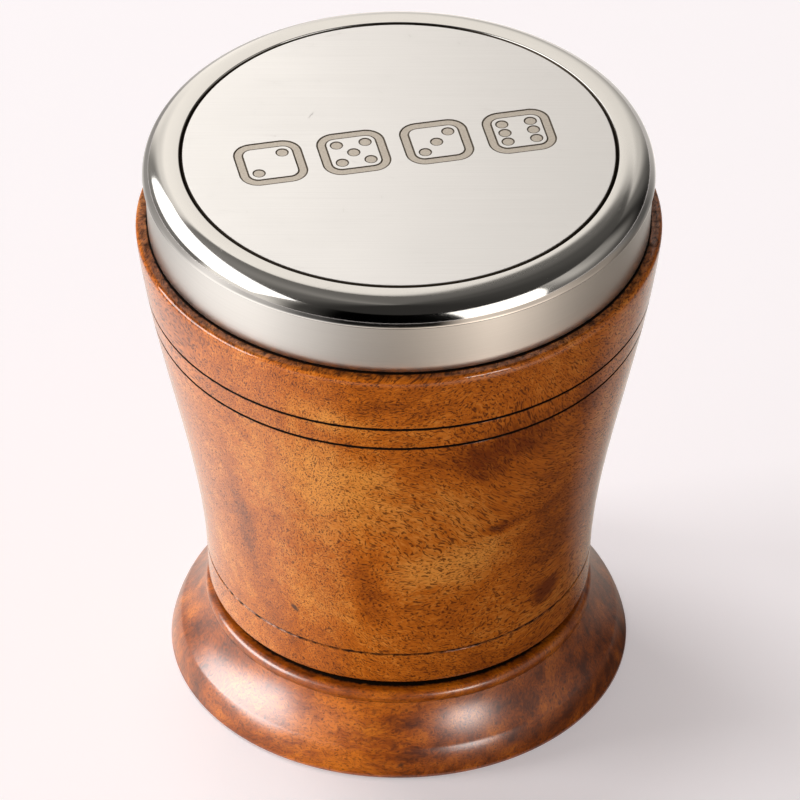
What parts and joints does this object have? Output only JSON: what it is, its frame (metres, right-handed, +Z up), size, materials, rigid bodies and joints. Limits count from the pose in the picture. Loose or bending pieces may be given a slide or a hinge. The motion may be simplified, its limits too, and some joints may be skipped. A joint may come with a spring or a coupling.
{
  "type": "dice box",
  "caption": "Turned wooden dice box: a flared cup on a separate moulded foot, closed by a lift-off round metal lid with a let-in disc, holding dice on a felted floor.",
  "frame": {"origin": "centre of the underside of the foot, on the table", "axes": "+Z up along the turning axis, through the lid"},
  "size_m": [0.085, 0.085, 0.1],
  "materials": {
    "cup_wood": "polished figured hardwood, amber brown",
    "foot_wood": "polished hardwood, darker and redder than the cup",
    "baize": "green baize",
    "felt": "dark green felt",
    "satin_metal": "satin, brushed round the band",
    "polished_metal": "polished",
    "brushed_metal": "fine straight brushing",
    "etched_metal": "matt etched floor of the engraving",
    "die": "bone-coloured, softly polished",
    "die_pip": "black filled pips"
  },
  "bodies": {
    "box": {"cup_body": "cup_wood", "foot": "foot_wood", "base_baize": "baize", "floor_felt": "felt"},
    "lid": {"lid_band": "satin_metal", "lid_cap": "polished_metal", "lid_disc": "brushed_metal", "lid_liner": "felt"},
    "die_1": {"die_1": "die"},
    "die_2": {"die_2": "die"},
    "die_3": {"die_3": "die"},
    "die_4": {"die_4": "die"},
    "die_5": {"die_5": "die"}
  },
  "joints": [
    {"name": "lid_lift", "type": "slide", "parent": "box", "child": "lid", "axis": [0, 0, 1], "range_m": [0, 0.06]},
    {"name": "die_1_hop", "type": "slide", "parent": "box", "child": "die_1", "axis": [0, 0, 1], "range_m": [0, 0.06]},
    {"name": "die_2_hop", "type": "slide", "parent": "box", "child": "die_2", "axis": [0, 0, 1], "range_m": [0, 0.06]},
    {"name": "die_3_hop", "type": "slide", "parent": "box", "child": "die_3", "axis": [0, 0, 1], "range_m": [0, 0.06]},
    {"name": "die_4_hop", "type": "slide", "parent": "box", "child": "die_4", "axis": [0, 0, 1], "range_m": [0, 0.06]},
    {"name": "die_5_hop", "type": "slide", "parent": "box", "child": "die_5", "axis": [0, 0, 1], "range_m": [0, 0.06]}
  ]
}
